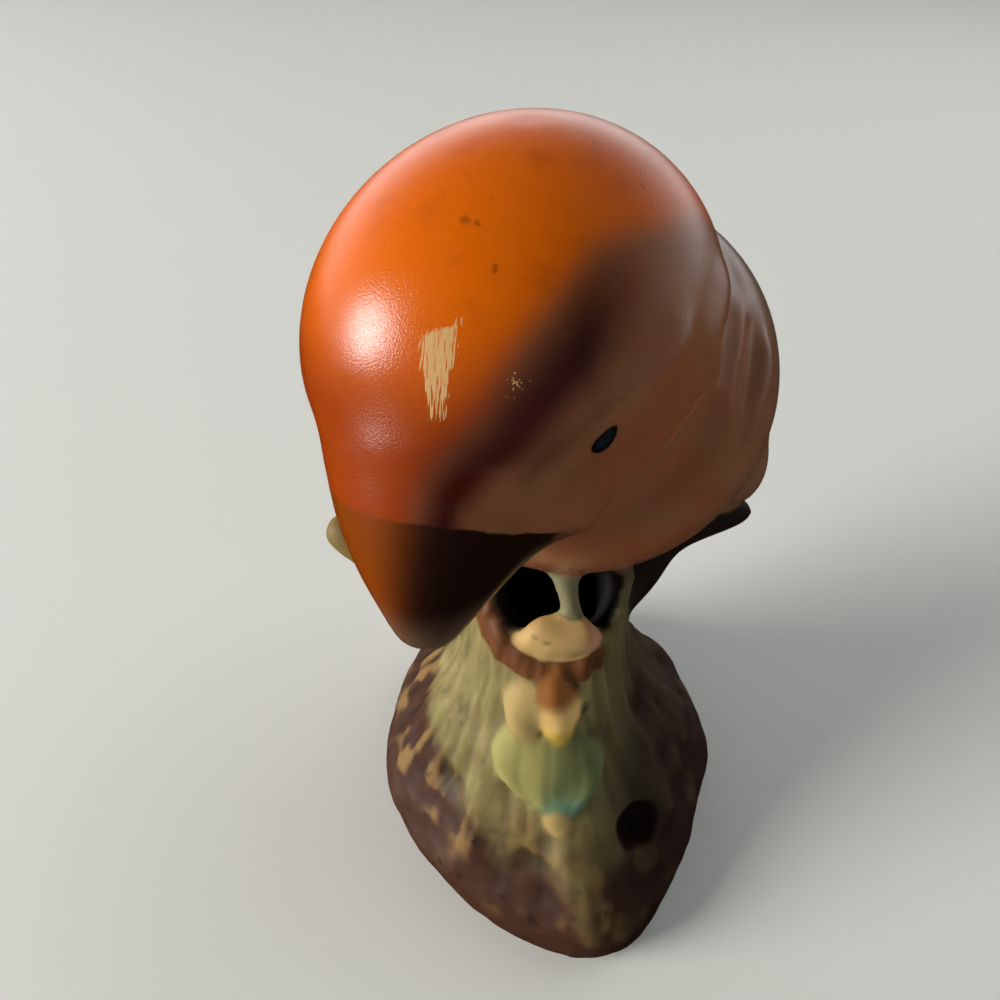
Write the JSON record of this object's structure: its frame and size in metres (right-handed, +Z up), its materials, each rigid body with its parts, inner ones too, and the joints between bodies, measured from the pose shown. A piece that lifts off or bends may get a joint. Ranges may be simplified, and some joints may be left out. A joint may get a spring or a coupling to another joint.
{
  "type": "ceramic parrot figurine",
  "caption": "Glazed ceramic figurine of a chunky parrot with its head turned aside and down, perched on a hollow forked stump that flares into a rooted rocky base",
  "frame": {"origin": "on the flat underside, at the middle of the round part of the base", "axes": "+Z up, -Y towards the viewer, where the base is pointed and the hollow opens, +X to the viewer's right"},
  "size_m": [0.111, 0.1197, 0.1959],
  "materials": {
    "painted_glaze": "hand painted under a satin glaze: orange crown, brown sides and beak, olive stump, brown and tan base"
  },
  "bodies": {
    "root": {"parrot_figurine": "painted_glaze"}
  },
  "joints": []
}
